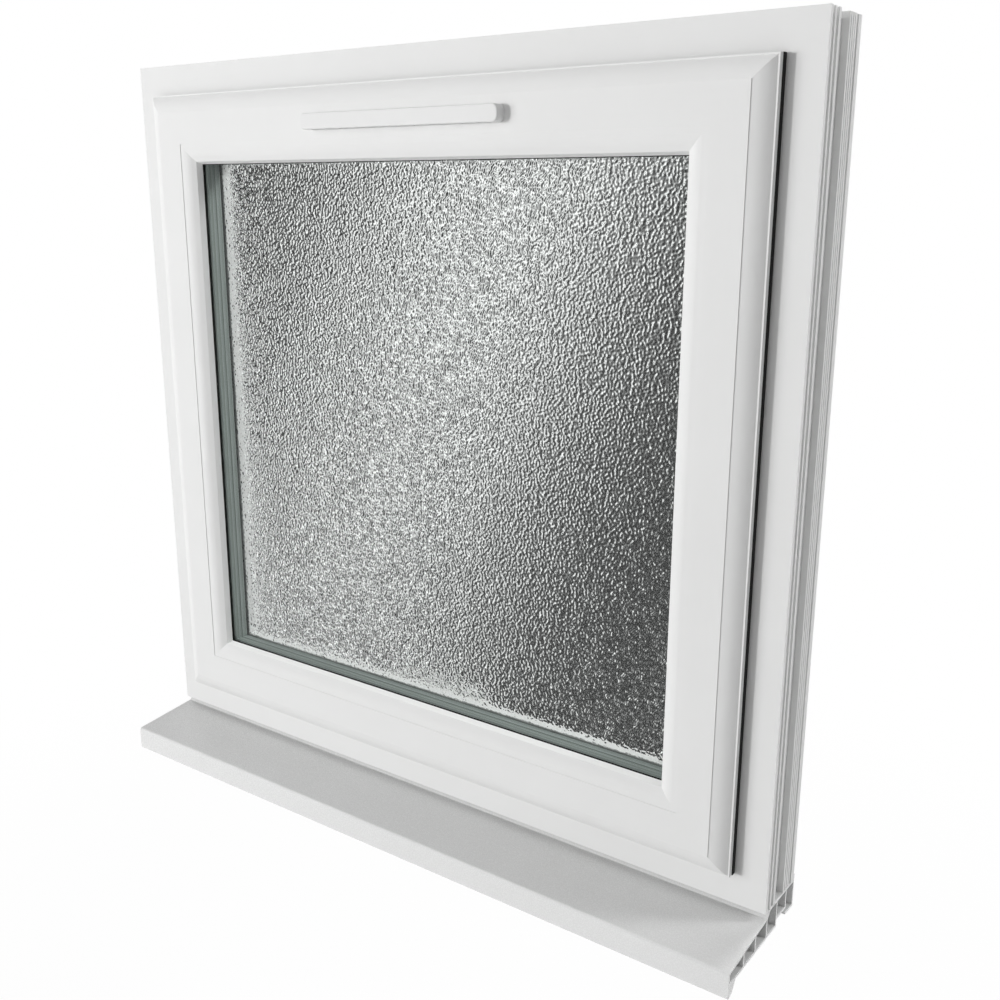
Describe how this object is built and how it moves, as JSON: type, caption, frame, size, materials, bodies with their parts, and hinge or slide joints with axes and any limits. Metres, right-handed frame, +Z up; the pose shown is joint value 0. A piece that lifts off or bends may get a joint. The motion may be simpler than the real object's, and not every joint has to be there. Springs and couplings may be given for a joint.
{
  "type": "top-hung window",
  "caption": "White plastic top-hung window with an obscure glazing unit in a mitred sash and frame, a ventilator hood, an inside handle and a hollow projecting sill.",
  "frame": {"origin": "middle of the window's width, on the bed under the sill, in line with the outside face of the outer frame", "axes": "+X along the width to the right seen from outside, +Y into the building, +Z up"},
  "size_m": [0.82, 0.173, 0.8336],
  "materials": {
    "white_profile": "satin white extruded plastic",
    "white_sill": "satin white extruded plastic",
    "white_moulding": "moulded white plastic",
    "white_handle": "white powder coat",
    "black_seal": "matt black rubber",
    "spacer_metal": "dull mill finish",
    "clear_glass": "clear float glass",
    "obscure_glass": "stippled obscure glass"
  },
  "bodies": {
    "root": {"bead_bottom": "white_profile", "bead_gasket_bottom": "black_seal", "bead_gasket_left": "black_seal", "bead_gasket_right": "black_seal", "bead_gasket_top": "black_seal", "bead_left": "white_profile", "bead_right": "white_profile", "bead_top": "white_profile", "frame_bottom_rail": "white_profile", "frame_head": "white_profile", "frame_left_jamb": "white_profile", "frame_right_jamb": "white_profile", "handle_base": "white_handle", "handle_lever": "white_handle", "inner_pane": "obscure_glass", "inside_seal_bottom": "black_seal", "inside_seal_left": "black_seal", "inside_seal_right": "black_seal", "inside_seal_top": "black_seal", "outer_gasket_bottom": "black_seal", "outer_gasket_left": "black_seal", "outer_gasket_right": "black_seal", "outer_gasket_top": "black_seal", "outer_pane": "clear_glass", "sash_bottom_rail": "white_profile", "sash_left_stile": "white_profile", "sash_right_stile": "white_profile", "sash_top_rail": "white_profile", "sill": "white_sill", "spacer_bottom": "spacer_metal", "spacer_left": "spacer_metal", "spacer_right": "spacer_metal", "spacer_top": "spacer_metal", "vent_flap": "white_moulding", "vent_hood": "white_moulding", "vent_plate": "white_moulding", "weather_seal_bottom": "black_seal", "weather_seal_left": "black_seal", "weather_seal_right": "black_seal", "weather_seal_top": "black_seal"}
  },
  "joints": []
}
